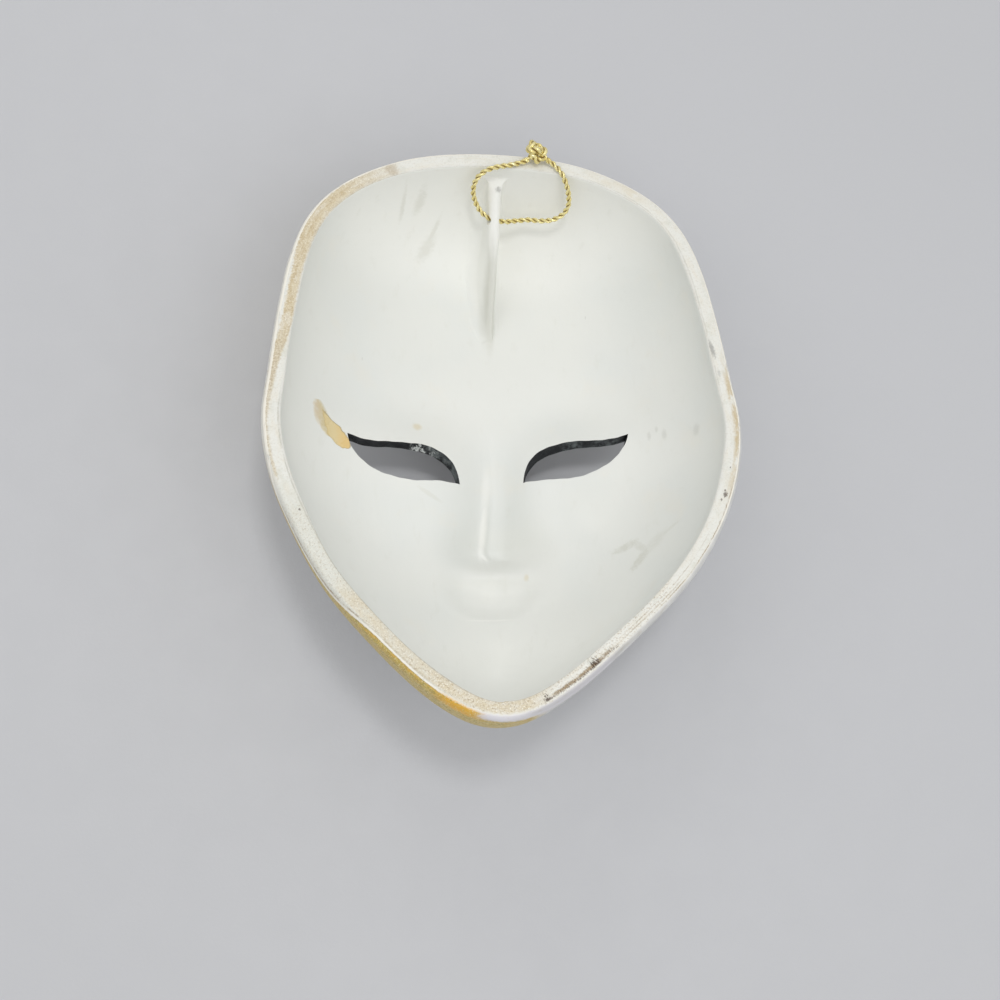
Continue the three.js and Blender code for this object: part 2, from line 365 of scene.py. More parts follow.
        # a run of liquid seen along w: its body, and the line round it
        dx, dy = end[0] - start[0], end[1] - start[1]
        near = self.local(place, start, math.atan2(dy, dx), (math.hypot(dx, dy), 1))
        share, off, _ = self.parts(near)
        curve = self.tree.nodes.new("ShaderNodeFloatCurve")
        widest = 4                                # mm, the curve's own height stands for this much
        points = curve.mapping.curves[0].points
        for _ in halfWidths[2:]:
            points.new(0.5, 0.5)
        for k, width in enumerate(halfWidths):
            points[k].location = (k / (len(halfWidths) - 1), width / widest)
        curve.mapping.update()
        self.fill(curve.inputs["Value"], share)
        off = self.plus(off, self.times(share, self.opposite(share), 4 * bend))
        inside = self.minus(self.times(curve.outputs[0], widest), self.calc("ABSOLUTE", off))
        inside = self.uneven(inside, self.noise(place, 1.6, 3), 2 * ragged)
        ends = self.within(share, 0.0, 1.0, 0.04)
        return (self.times(self.ramp(inside, 0.15 - soft / 2, 0.15 + soft / 2), ends),
                self.times(self.line(inside, 0.16, 0.5), ends))

    def bump(self, height, distance, strength, under=None):
        inputs = {"Height": height, "Distance": distance, "Strength": strength}
        if under is not None:
            inputs["Normal"] = under
        return self.add("Bump", inputs)[0]

    def finish(self, colour, roughness, normal, metallic=0.0):
        for name, value in (("Base Color", colour), ("Roughness", roughness), ("Normal", normal),
                            ("Metallic", metallic)):
            self.fill(self.shader.inputs[name], value)
        return self.material


clayLook = {
    "colours": {
        "white": "e4e5e0", "cool": "e1e3df", "warm": "e6e3d9", "paintedLight": "f3f3ee", "tan": "d6caa8",
        "smear": "cccbbe", "scratch": "ccccc1", "speck": "bebeb6", "dustAndShade": "cecec4",
        "pinholeShade": "969692", "amber": "ddca98", "warmAmber": "e2c280", "amberRim": "c8b074",
        "oldPale": "d1c1a4", "oldOlive": "cdbc8a",
    },
    # strokes: start, end, width, softness, raggedness, its grain, strength
    "wiped": [
        ((-11.8, 78.7), (-14.8, 74.6), 0.8, 1.2, 1.4, 0.7, 1.0),
        ((-20.5, 79.4), (-21.5, 76.6), 0.8, 1.2, 1.4, 0.7, 1.0),
        ((-17.2, 13.0), (-12.4, 10.2), 0.9, 1.0, 0.8, 1.0, 0.8),
        ((-13.0, 76.0), (-16.4, 72.0), 2.2, 1.4, 1.6, 1.0, 1.0),
        ((-15.8, 80.4), (-18.2, 78.4), 1.2, 1.2, 1.4, 0.8, 1.0),
    ],
    "scratches": [
        ((26.7, -2.6), (31.6, -0.4), 1.7, 0.8, 1.3, 0.7, 1.0),
        ((30.8, -0.3), (32.8, -3.8), 1.6, 0.9, 1.2, 0.7, 0.7),
        ((29.4, -8.0), (33.4, -3.2), 1.5, 0.9, 1.4, 0.7, 1.0),
        ((32.2, -4.6), (36.4, -0.2), 1.9, 1.2, 1.4, 0.9, 0.5),
        ((35.0, -1.6), (39.2, 1.2), 0.7, 1.0, 1.2, 0.6, 0.5),
    ],
    "highlightLines": [       # painted highlights: the crease beside the nose, its foot, and the line under the lower lip
        ((-0.9, 19.0), (-1.4, 9.5), 2.0, 1.6, 0.2, 1.0, 0.6),
        ((-1.2, 11.5), (-2.3, 0.4), 1.5, 1.3, 0.2, 1.0, 1.0),
        ((-2.3, 0.9), (-1.0, -0.9), 0.8, 1.0, 0.0, 1.0, 1.0),
        ((-5.8, -16.9), (3.4, -16.6), 0.45, 1.0, 0.6, 0.7, 0.6),
    ],
    # spots: centre, radii, turn, softness, raggedness, its grain, strength
    # painted highlights on the floor of the lips
    "lips": [
        ((-1.0, -9.6), (2.6, 2.8), 0, 1.6, 0.3, 2, 0.5),
        ((-1.0, -8.6), (7.5, 3.6), 0, 1.8, 0.3, 2, 0.25),
    ],
    "tanSpots": [
        ((-17.2, 28.8), (0.95, 0.85), 0, 1.2, 0.5, 0.6, 0.6),
        ((7.3, -6.6), (0.5, 0.7), 0, 1.2, 0.9, 0.4, 0.48),
    ],
    # painted light on the fin's left side, painted shade with some dust on its lower ridge, and a
    # pinhole's painted shade
    "finFlankLight": [((-1.7, 67.0), (7.5, 1.7), 94, 1.3, 0.0, 1.0, 0.7)],
    "finRidgeShade": [
        ((0.6, 60.5), (9.5, 1.4), 91, 0.9, 0.3, 2, 0.68),
        ((-0.3, 57.0), (5.0, 1.4), 94, 1.3, 0.3, 2, 0.408),
    ],
    "finPinholeShade": [((1.0, 80.4), (0.6, 0.45), 15, 1.2, 1.8, 0.4, 0.6)],
    "specks": [          # place and size
        (44.3, 22.0, 0.95), (35.7, 24.2, 0.8), (38.7, 23.7, 0.95), (37.3, 25.4, 0.6),
        (24.0, 58.0, 0.35), (-30.0, 44.0, 0.3),
    ],
    # runs of glue: start, end, half widths on the way, raggedness, bend, softness
    "oldRun": ((-40.0, 29.9), (-37.3, 22.2), (0.6, 1.25, 1.5, 1.45, 1.1, 0.3), 0.6, 0.3, 1.0),
    "newRun": ((-38.9, 28.1), (-32.9, 20.4), (0.1, 0.8, 1.5, 2.0, 1.7, 0.5), 0.7, 0.5, 0.3),
}


def bareClay():
    n = Nodes("bareClay", clayLook["colours"])
    place = n.maskPlace()
    u, v, _ = n.parts(place)
    specks = n.spots(place, [((x, y), (0.45 * r, 1.2 * r), 0, 1.3, 1.0, 0.6, 1.0)
                             for x, y, r in clayLook["specks"]])
    fine = n.ramp(n.noise(place, 0.6, 2), 0.74, 0.80)
    # painted highlights where light catches the crease beside the nose and the floor of the lips
    pale = n.most(n.strokes(place, clayLook["highlightLines"]), n.spots(place, clayLook["lips"]))
    # amber run beside the left eye, with an older, paler one beside it
    oldRun, oldRim = n.tongue(place, *clayLook["oldRun"])
    run, runRim = n.tongue(place, *clayLook["newRun"])
    olive = n.ramp(n.uneven(u, n.noise(place, 2, 3), 1.6), -40.6, -38.2)
    warm = n.ramp(n.uneven(u, n.noise(place, 1.6, 3), 2.0), -36.6, -33.2)
    colour = n.coats(
        "white",
        ("cool", n.ramp(n.noise(place, 26, 2), 0.40, 0.68)),
        ("warm", n.ramp(n.noise(place, 12, 3, 0.6), 0.55, 0.75), 0.35),
        # painted light: paler in the chin and under the top of the rim
        ("paintedLight", n.most(n.times(n.ramp(v, -14, -30), 0.5), n.times(n.ramp(v, 60, 76), 0.7))),
        # slip runs and wiped strokes, only just seen
        ("smear", n.ramp(n.noise(place, 2.2, 4, 0.65, (1, 0.4, 0.6)), 0.56, 0.76), 0.12),
        ("smear", n.strokes(place, clayLook["wiped"]), 0.34),
        ("scratch", n.strokes(place, clayLook["scratches"]),
         n.ramp(n.noise(place, 1.1, 4, 0.7), 0.3, 0.6, 0.25, 0.6)),
        ("tan", n.spots(place, clayLook["tanSpots"])),
        ("speck", n.most(specks, n.times(fine, 0.5)), 0.34),
        # painted highlights on the crease beside the nose and on the lips
        ("paintedLight", pale, 0.8),
        # the fin: painted light on its left side, painted shade with some dust down its lower ridge, and
        # the painted shade of a pinhole near its top
        ("paintedLight", n.spots(place, clayLook["finFlankLight"])),
        ("dustAndShade", n.spots(place, clayLook["finRidgeShade"])),
        ("pinholeShade", n.spots(place, clayLook["finPinholeShade"])),
        (n.mix(olive, "oldPale", "oldOlive"), oldRun,
         n.ramp(n.noise(place, 1.3, 4, 0.6), 0.3, 0.6, 0.6, 0.9)),
        (n.mix(warm, "amber", "warmAmber"), run, 0.95),
        ("amberRim", n.most(runRim, n.times(oldRim, n.calc("SUBTRACT", 0.15, run, clamp=True))), 0.5))
    rough = n.ramp(n.noise(place, 7, 3), 0.3, 0.7, 0.44, 0.58)
    rough = n.minus(rough, n.times(n.most(run, n.times(oldRun, 0.6)), 0.24))
    normal = n.bump(n.noise(place, 0.5, 4, 0.7), 0.00004, 0.35)
    normal = n.bump(n.noise(place, 4.5, 3, 0.5, (1, 0.4, 1)), 0.0004, 0.22, normal)
    normal = n.bump(n.plus(run, n.times(oldRun, 0.4)), 0.0003, 0.7, normal)
    return n.finish(colour, rough, normal)


rimLook = {
    "colours": {
        "bare": "e6e6df", "cream": "e1dbcb", "tan": "c6b48e", "peach": "d8ccaf", "pearl": "e2e2df",
        "silver": "cececc", "lilac": "e0dee5", "olive": "a09252", "gold": "d8c06c", "glint": "f6e6b0",
        "amber": "d8aa4e", "orange": "eeb842", "dirt": "48362a", "rust": "b29e78", "edge": "faf6ea",
        "beige": "d6caae", "grain": "a08a68", "grey": "969693", "greyGreen": "ced0c4",
        "brownLine": "8e7448", "lipShadeLine": "b8b6a8",
    },
    "goldDepth": 15.0,       # mm of wall under the rim that carries the gold border
    "length": 372.8,         # mm round the rim
    # grooves: place across, width, from and to round the rim, softness, strength
    "grooves": [(2.75, 0.35, 40, 72, 10, 1.0), (3.3, 0.4, 28, 46, 8, 0.7), (3.9, 0.3, 30, 58, 8, 0.5)],
    # beige bands at the chin: from and to round the rim, softness, start across, full across, strength
    "bands": [(-20, 9, 8, 2.4, 3.3, 1.0), (-34, 14, 20, 4.2, 5.2, 0.6), (-44, -16, 8, 2.2, 2.9, 0.7)],
    "dirtPatches": [(20.2, 23.6, 3, 1.0), (8.4, 10.8, 2.6, 1.0), (9, 29, 5, 0.62)],
    # spots as on the clay, laid by place round and across the rim
    "smudges": [((105.4, 4.9), (1.9, 0.45), 5, 1.2, 1.8, 0.4, 0.7),
                ((99.5, 4.6), (0.8, 0.3), 0, 1.2, 1.6, 0.4, 0.35)],
    "crownMark": [((-160.9, 4.1), (1.3, 1.6), 12, 1.5, 2.6, 0.6, 0.38)],
    "darkSpots": [(69.0, 3.7, 0.6), (67.5, 4.2, 0.3), (69.9, 4.0, 0.3), (75.8, 4.0, 0.2),
                  (-63.7, 4.4, 0.28)],
}


def paintedRim():
    n = Nodes("paintedRim", rimLook["colours"])
    depth, length = rimLook["goldDepth"], rimLook["length"]
    place = n.maskPlace()
    w = n.parts(place)[2]
    along, across = n.uvPlace(1000)
    # rim is 0 at the chin, grows to the right and is negative on the left
    rim = n.minus(along, n.times(n.calc("GREATER_THAN", along, length / 2), length))
    run = n.join(rim, across)                    # for marks that run along the rim
    coarse = n.noise(place, 5, 4, 0.6)
    fine = n.noise(place, 0.8, 4, 0.7)
    grit = n.noise(place, 0.35, 3, 0.7)
    dustAndShade = n.noise(place, 0.5 / 1.07, 4, 0.75)
    streaky = n.noise(run, 1.5, 4, 0.65, (0.3, 1, 1))
    worked = n.noise(run, 1.1, 5, 0.75, (0.35, 1, 1))
    waver = n.times(n.minus(n.noise(place, 3, 4, 0.65), 0.5), 7)
    ragged = n.uneven(across, fine, 1.2)
    slightly = n.uneven(across, fine, 0.5)
    rimRagged = n.uneven(rim, fine, 4)

    # the face's own pearl paint, silvery towards the border on the right
    painted = n.coats(
        "pearl",
        ("silver", n.ramp(w, -depth, -7), n.ramp(coarse, 0.35, 0.6), 0.7),
        ("grey", n.ramp(n.noise(place, 2.6, 4, 0.6), 0.5, 0.75), 0.10),
        ("lilac", n.within(rimRagged, -5.5, 26, 5), n.ramp(across, -1, 0.5), 0.8),
        ("grey", n.within(rimRagged, 4, 32, 8), n.within(across, 1.0, 2.7, 1.0), 0.35),
        ("rust", n.ramp(worked, 0.52, 0.66), n.ramp(w, -5, -2), 0.22))
    # antique gold border, from the crown round the left to just past the chin
    goldTop = n.minus(n.ramp(rim, -47, -30, -0.1, 1.9), n.ramp(rim, -80, -90, 0.0, 1.3))
    overTop = n.minus(n.uneven(across, fine, 0.9), goldTop)
    chinWorn = n.times(n.within(rimRagged, -5.5, 40, 3), n.ramp(ragged, 0.0, 1.0))
    border = n.times(n.ramp(n.plus(rim, n.times(waver, 0.8)), 10, 5),
                     n.ramp(n.plus(rim, n.times(waver, 2)), -184, -140),
                     n.ramp(n.plus(across, waver), -depth - 1, -depth + 2),
                     n.ramp(overTop, 0.3, -0.1), n.opposite(chinWorn))
    gilt = n.coats(
        "olive",
        ("gold", n.ramp(n.noise(run, 0.7, 5, 0.85, (0.6, 1, 1)), 0.36, 0.58)),
        ("amber", n.ramp(worked, 0.48, 0.64), 0.6),
        ("glint", n.ramp(grit, 0.52, 0.64), 0.8))
    amber = n.times(n.within(rimRagged, -14, -5.5, 5), n.within(ragged, -0.6, 2.9, 1.4),
                    n.ramp(fine, 0.30, 0.46), n.ramp(grit, 0.66, 0.54), 0.9)
    amberLine = n.times(n.within(rim, -44, -14, 8), n.within(overTop, -0.6, 0.1, 0.5),
                        n.ramp(worked, 0.42, 0.56), 0.3)
    wall = n.coats(painted, (gilt, border), ("orange", n.most(amber, amberLine)))

    # tan paint on the upper left: the whole flat, then its inner half, then only its outer edge
    middle = n.plus(n.ramp(rim, -134, -122, 4.1, 4.35), n.ramp(rim, -110, -96, 0, -1.75))
    half = n.plus(n.ramp(rim, -134, -122, 1.75, 1.15), n.ramp(rim, -98, -82, 0, -0.75))
    past = n.minus(n.apart(slightly, middle), n.uneven(half, fine, 1.8))
    tanZone = n.times(n.within(n.plus(rim, n.times(waver, 0.3)), -161.5, -72, 3),
                      n.ramp(past, 0.25, -0.35))
    tone = n.coats(
        "tan",
        ("peach", n.ramp(worked, 0.40, 0.60)),
        ("cream", n.ramp(n.noise(run, 2.6, 4, 0.7, (0.35, 1, 1)), 0.52, 0.66), 0.6),
        ("rust", n.ramp(rim, -109, -101), n.ramp(dustAndShade, 0.40, 0.56), 0.7))
    # thin lines of dirt beside the shoulder
    lines = [n.times(n.line(slightly, at, width), n.within(rim, low, high, soft), strength)
             for at, width, low, high, soft, strength in rimLook["grooves"]]
    lines.append(n.times(n.line(n.minus(slightly, goldTop), 1.0, 0.5), n.within(rim, -64, -16, 8)))
    grooves = n.times(n.most(*lines), n.ramp(worked, 0.38, 0.58))
    # speckled beige band at the chin
    band = n.most(*[n.times(n.within(rimRagged, low, high, soft), n.ramp(ragged, start, full), strength)
                    for low, high, soft, start, full, strength in rimLook["bands"]])
    grains = n.most(n.times(band, 0.8), n.times(n.within(rim, 5, 46, 12), 0.6),
                    n.times(n.within(rim, -66, -16, 12), 0.45), n.times(tanZone, 0.5), 0.18)
    lipZone = n.most(n.within(rim, -92, -8, 10), n.times(n.within(rim, 96, 166, 14), 0.7))
    # the flat of the rim, bare and scuffed
    flat = n.coats(
        "bare",
        ("cream", n.ramp(streaky, 0.42, 0.68), 0.5),
        ("greyGreen", n.ramp(n.noise(place, 3.2, 4, 0.6), 0.50, 0.70), 0.4),
        ("greyGreen", n.within(rim, -68, -14, 10), 0.45),
        (tone, tanZone, n.ramp(rim, -160, -146, 0.45, 1.0), n.ramp(rim, -84, -116, 0.6, 0.95)),
        ("peach", n.within(n.plus(rim, n.times(waver, 0.5)), 148, 163, 8),
         n.within(ragged, 2.4, 4.6, 1.4), n.ramp(coarse, 0.3, 0.55), 0.4),
        ("tan", n.within(rim, 68, 100, 12), n.within(ragged, 2.5, 3.6, 1.0),
         n.ramp(streaky, 0.34, 0.56), n.ramp(rim, 74, 84, 0.5, 0.9)),
        ("grain", grooves, 0.8),
        ("brownLine", n.line(slightly, 3.4, 1.1), n.within(rim, 11, 26, 4),
         n.ramp(worked, 0.30, 0.48), 0.85),
        ("beige", band, n.ramp(worked, 0.36, 0.60, 0.45, 1.0)),
        ("grain", grains, n.ramp(dustAndShade, 0.50, 0.66)),
        ("edge", grains, n.ramp(grit, 0.52, 0.66)),
        # painted shade: a thin dark line along the inner lip
        ("lipShadeLine", n.line(slightly, 5.2, 0.5), n.ramp(worked, 0.36, 0.55), lipZone, 0.6))
    onFlat = n.most(n.ramp(n.minus(ragged, n.ramp(goldTop, -0.1, 1.9, 0.6, 2.2, "LINEAR")), 0.0, 0.5),
                    n.times(n.within(rim, -84, -34, 10), n.ramp(overTop, 0.1, 0.5)))
    # the shoulder's bright line: a painted highlight on its rounded crest, with worn paint
    high = n.ramp(rim, -64, -84)
    crestAt = n.plus(n.times(n.opposite(high), n.plus(goldTop, 0.35)), n.times(high, 2.1))
    crestHalf = n.ramp(high, 0, 1, 0.27, 0.5, "LINEAR")
    crestHighlight = n.times(n.ramp(n.minus(crestHalf, n.apart(n.uneven(across, fine, 0.4), crestAt)), -0.08, 0.10),
                    n.ramp(n.noise(run, 1.4, 4, 0.7, (0.3, 1, 1)), 0.34, 0.42),
                    n.opposite(n.times(n.within(rim, -14, 60, 6), 0.8)))
    # hair-fine brown dirt on the lower right, its hairs pointing inwards
    hairs = n.noise(run, 0.5, 4, 0.75, (1.9, 0.6, 1))
    dense = n.most(*[n.times(n.within(rim, low, high, soft), strength)
                     for low, high, soft, strength in rimLook["dirtPatches"]])
    reach = n.ramp(across, 2.9, 5.4, 0.17, -0.09, "LINEAR")
    body = n.plus(hairs, reach, n.times(n.minus(dense, 1.0), 0.34))
    dirt = n.times(n.ramp(body, 0.50, 0.62), n.ramp(slightly, 2.7, 3.1), n.within(rim, 7, 31, 3))
    spots = n.spots(run, [((x, y), (r, 0.7 * r), 0, 1.0, 2.6, 0.3, 0.85)
                          for x, y, r in rimLook["darkSpots"]])
    colour = n.coats(
        wall,
        (flat, onFlat),
        # painted highlight along the shoulder's crest
        ("edge", crestHighlight, 0.9),
        ("silver", n.ramp(across, 4.9, 5.6), 0.25),          # painted shade where the lip turns down into the hollow
        ("grey", n.spots(run, rimLook["smudges"])),
        ("grain", n.spots(run, rimLook["crownMark"])),
        ("dirt", n.most(dirt, spots), 0.9))

    rough = n.plus(n.ramp(n.noise(place, 1.6, 3), 0.3, 0.7, 0.34, 0.50), n.times(onFlat, 0.12),
                   n.times(dirt, 0.2))
    normal = n.bump(grit, 0.00006, 0.5)
    normal = n.bump(n.noise(place, 1.6, 4, 0.6), 0.0002, 0.4, normal)
    normal = n.bump(n.plus(crestHighlight, n.times(grooves, -0.5)), 0.00016, 0.6, normal)
    return n.finish(colour, rough, normal, n.times(border, n.opposite(onFlat), 0.25))


eyeLook = {
    "colours": {
        "black": "121418", "rubbed": "626868", "chip": "c4c8c6",
    },
    # spots as on the clay
    "rubbed": [((-10.5, 19.5), (5.0, 6.5), 30, 0.8, 0.4, 2, 1.0),
               ((19.0, 24.0), (2.2, 3.5), 0, 0.9, 0.6, 1.5, 1.0),
               ((27.0, 25.0), (3.6, 3.5), 0, 0.9, 0.6, 1.5, 1.0)],
    "chipped": [((-16.9, 22.6), (1.9, 2.6), 0, 0.7, 0.5, 1.0, 1.0),
                ((-14.0, 22.0), (1.2, 2.2), 0, 0.9, 0.5, 1.0, 0.4)],
}


def blackPaint():
    n = Nodes("blackPaint", eyeLook["colours"])
    place = n.maskPlace()
    # rubbed grey, and chipped to the white clay on the left hole's upper edge
    worn = n.ramp(n.noise(place, 1.6, 4, 0.7), 0.36, 0.64)
    chips = n.times(n.ramp(n.noise(place, 1.1, 4, 0.75), 0.50, 0.56), n.spots(place, eyeLook["chipped"]))
    few = n.times(n.ramp(n.noise(place, 1.3, 4, 0.8), 0.66, 0.70), 0.7)
    colour = n.coats("black", ("rubbed", worn, n.most(n.spots(place, eyeLook["rubbed"]), 0.15)),
                     ("chip", n.most(chips, few)))
    rough = n.ramp(n.noise(place, 1.5, 3), 0.3, 0.7, 0.35, 0.6)
    return n.finish(colour, rough, n.bump(n.noise(place, 0.7, 4, 0.7), 0.0002, 0.6))


threadLook = {
    "colours": {
        "gold": "f0e096", "pale": "fef4b8", "between": "8e7138", "groove": "be9e5a", "dull": "b09050",
    },
    "threads": 8,            # in one strand
    "turning": 16000,        # radians of their twist in a metre
    "metal": 0.62,
}


def goldThread():
    # uv: metres along a strand, and the share of a turn round it from the cord's outside
    n = Nodes("goldThread", threadLook["colours"])
    place = n.objectPlace()
    along, turn = n.uvPlace()
    outward = n.ramp(n.calc("COSINE", n.times(turn, 2 * math.pi)), -1, 1, 0, 1, "LINEAR")
    threads = n.calc("SINE", n.plus(n.times(turn, 2 * math.pi * threadLook["threads"]),
                                    n.times(along, threadLook["turning"])))
    colour = n.coats(
        "gold",
        ("pale", n.ramp(n.noise(place, 0.0016, 3), 0.35, 0.65)),
        # painted shade where each strand turns in towards the other, and in the grooves between its
        # threads
        ("between", n.ramp(outward, 0.56, 0.10), 0.85),
        ("groove", n.ramp(threads, -0.2, -1.0), 0.25),
        ("dull", n.ramp(n.noise(place, 0.0007, 3), 0.60, 0.72), 0.45))
    rough = n.ramp(n.noise(place, 0.0007, 2), 0.35, 0.65, 0.20, 0.36)
    normal = n.bump(threads, 0.00003, 0.7)
    normal = n.bump(n.noise(place, 0.0002, 4, 0.7), 0.00004, 0.5, normal)
    return n.finish(colour, rough, normal, threadLook["metal"])


clay = bareClay()
rimPaint = paintedRim()
eyePaint = blackPaint()
gold = goldThread()
print("materials made")


# Cord and knot

cordLook = {
    # the route from the knot, through the fin and back to the knot, in metres
    "route": [
        (0.0074, 0.0840, 0.00125), (0.0056, 0.0834, 0.00095), (0.0030, 0.0825, 0.00095),
        (0.0001, 0.0819, 0.0009), (-0.0024, 0.0811, 0.0005), (-0.0041, 0.0803, -0.0008),
        (-0.0049, 0.0797, -0.0026), (-0.0050, 0.0790, -0.0048), (-0.0045, 0.0784, -0.0070),
        (-0.0034, 0.0776, -0.0091), (-0.0017, 0.0767, -0.0107), (0.0005, 0.0760, -0.0114),
        (0.0032, 0.0760, -0.0120), (0.0061, 0.0766, -0.0123), (0.0092, 0.0770, -0.0123),
        (0.0121, 0.0766, -0.0119), (0.0148, 0.0764, -0.0108), (0.0168, 0.0768, -0.0090),
        (0.0176, 0.0775, -0.0064), (0.0172, 0.0783, -0.0036), (0.0162, 0.0794, -0.0009),
        (0.0149, 0.0810, 0.0009), (0.0134, 0.0829, 0.0011), (0.0116, 0.0840, 0.0016),
    ],
    "strands": 2, "strandRadius": 0.35, "layRadius": 0.29, "pitch": 3.3,   # mm
    "step": 0.14, "sides": 12,
    "finHole": (0.0, 76.0, -11.4),
}

knotLook = {
    "centre": (8.8, 85.2, 2.85), "size": 1.45, "squash": 1.2,
    "turn": (0.5, 0.35, 1.25),               # radians about u, v and w
    "pair": 0.68, "thick": 1.38,             # the two ends' distance apart, and their swelling
    "ends": [      # the cord's two ends where they enter the knot, and the short tails
        [(6.6, 83.7, 1.15), (7.5, 84.4, 1.5), (8.3, 85.2, 2.2)],
        [(12.3, 83.5, 1.35), (11.3, 84.3, 1.8), (10.2, 85.1, 2.4)],
        [(8.2, 84.7, 2.9), (8.2, 85.2, 3.5), (8.5, 85.6, 3.8)],
        [(9.6, 84.6, 2.9), (9.9, 85.1, 3.5), (9.7, 85.5, 3.9)],
    ],
}


def twistedStrands(path, look, scale=1.0, phase=0.0):
    # path in mm: for each strand its points in mm, and uv for the corners of its faces
    points, at = evenSteps(path, look["step"])
    side, other = carriedFrames(points)
    sides = look["sides"]
    turn = 2 * math.pi * np.arange(sides) / sides
    ring = look["strandRadius"] * scale * (np.cos(turn)[:, None] * side[:, None]
                                           + np.sin(turn)[:, None] * other[:, None])
    for strand in range(look["strands"]):
        angle = 2 * math.pi * (at / look["pitch"] + strand / look["strands"]) + phase
        centre = points + look["layRadius"] * scale * (
            np.cos(angle)[:, None] * side + np.sin(angle)[:, None] * other)
        share = (turn - angle[:, None]) / (2 * math.pi)
        along = np.repeat(at[:, None], sides, 1) / 1000
        walls = cornerPairs(along, share, along, share + 1 / sides)
        ends = [(along[row, 0], 0.5) for row in (0, -1) for _ in range(sides)]
        yield centre[:, None] + ring, np.concatenate([walls, ends])


def strandsObject(name, runs):
    # runs: each a path in mm, a scale and a phase
    vertices, faces, uv, count = [], [], [], 0
    for path, scale, phase in runs:
        for rings, corners in twistedStrands(path, cordLook, scale, phase):
            vertices.append(rings.reshape(-1, 3))
            faces += [tuple(i + count for i in f) for f in closedTube(*rings.shape[:2])]
            uv.append(corners)
            count += len(vertices[-1])
    return addObject(name, toRow(np.concatenate(vertices)), faces, [gold], None, np.concatenate(uv))


def makeCord():
    route = smoothCurve([[1000 * c for c in point] for point in cordLook["route"]], 12)
    path, at = evenSteps(route, 0.5)
    return strandsObject("goldCord", [(route, 1.0, 0.0)]), toRow(path), float(at[-1]) / 1000


def makeKnot():
    # both ends of the cord, side by side, through one overhand turn
    look = knotLook
    t = np.linspace(0.35, 2 * math.pi + 0.05, 160)
    loop = np.stack([np.sin(t) + 2 * np.sin(2 * t), np.cos(t) - 2 * np.cos(2 * t),
                     -look["squash"] * np.sin(3 * t)], 1)
    loop *= look["size"] / 3
    for axis, angle in enumerate(look["turn"]):
        loop = loop @ np.array(Matrix.Rotation(angle, 3, "XYZ"[axis])).T
    apart = look["pair"] * carriedFrames(loop)[1]
    runs = [(look["centre"] + loop + sign * apart, look["thick"], 1.1 * sign) for sign in (1, -1)]
    runs += [(smoothCurve(end, 10), 1.0 if k < 2 else 0.85, 1.3 * k) for k, end in enumerate(look["ends"])]
    return strandsObject("goldKnot", runs)


cord, cordPath, cordLength = makeCord()
knot = makeKnot()
print(f"cord made, {cordLength * 1000:.1f} mm long")


# The cast face

wallShape = {
    # widest part of the wall, right half, from the chin to the crown
    "halfOutline": [
        (0, -45.5), (6, -44.4), (14.5, -39.5), (27, -28.4), (38, -16.4), (45.4, -4),
        (49.6, 7), (51.4, 18), (50.4, 30), (48.7, 45), (46.4, 58), (43, 67.5),
        (37.8, 74.5), (29.8, 80.3), (17.8, 85), (0, 86.8)],
    "chin": -45.5, "widest": 18.0, "crown": 86.8,
    "chinLean": -3.0, "leanTop": -1.0,
    "rimWidth": 4.2, "rimThinner": 0.5,       # it narrows this much to the chin
    "shoulder": (1.25, 2.4), "lip": (0.35, 0.5),    # each rounds this far in and down
    "shoulderRun": 2.8,                       # mm of paint from its foot to the flat
    "flatDip": 0.03,                          # how far the flat sinks at the shoulder
    "faceDepth": 31.0, "hollowDepth": 27.4, "domeFlatness": 2.7, "domeCorner": 1.95,
    "spine": (-24.0, 10.0, 61.0), "spineBend": 1.5,
    "lowSteps": 12, "highSteps": 8, "outerRings": 120, "innerRings": 104, "ringSpread": 1.25,
}

faceShape = {
    "brow": 32.0, "eye": 19.0, "cheek": 1.0, "noseRoot": 30.0, "noseTip": 2.0, "noseBase": -5.5,
    "upperLip": -9.6, "mouth": -12.0, "lowerLip": -15.2, "lipGroove": -20.5, "chinBoss": -30.0,
    "noseHeight": 14.2, "bridgeHeight": 2.2, "wingHeight": 4.4, "browHeight": 2.0,
    "socketDepth": 4.6, "cheekHeight": 2.8, "chinHeight": 3.2, "fade": (0.74, 0.98),
}


def dome(s, depth, lip):
    look = wallShape
    return lip + (depth - lip) * (1 - s ** look["domeFlatness"]) ** (1 / look["domeCorner"])


def nose(u, v, soft):
    f = faceShape
    face, side = 1 - soft, np.abs(u - 0.8 * soft)
    along = np.maximum((f["noseRoot"] - v) / (f["noseRoot"] - f["noseTip"]), 0)
    drop = smooth(f["noseBase"] - 2.5 + 1.0 * soft, f["noseTip"] + 3.5 - 3.4 * soft, v)
    halfWidth = 4.9 + 2 * np.minimum(along, 1.1) ** 1.5 + soft * np.where(u < 0.8, 1.3, -0.2)
    ridge = (f["noseHeight"] - 6.2 * soft) * along ** 1.35 * drop * np.exp(-(side / halfWidth) ** 2.3)
    bridge = (f["bridgeHeight"] - 0.9 * soft) * bell(v - 24, 9) * bell(u, 6.5 + soft)
    tip = 0.9 * face * bell(u, 5) * bell(v - f["noseTip"] - 0.5, 4.5)
    wing = (f["wingHeight"] - 3 * soft) * bell(side - 7.6, 3.2 + 1.4 * soft) \
        * bell(v - f["noseTip"] + 2.6, 4.6 + soft)
    nostril = 1.5 * face * bell(side - 3.9, 1.9) * bell(v - f["noseBase"] - 0.4, 1.9)
    return ridge + bridge + tip + wing - nostril


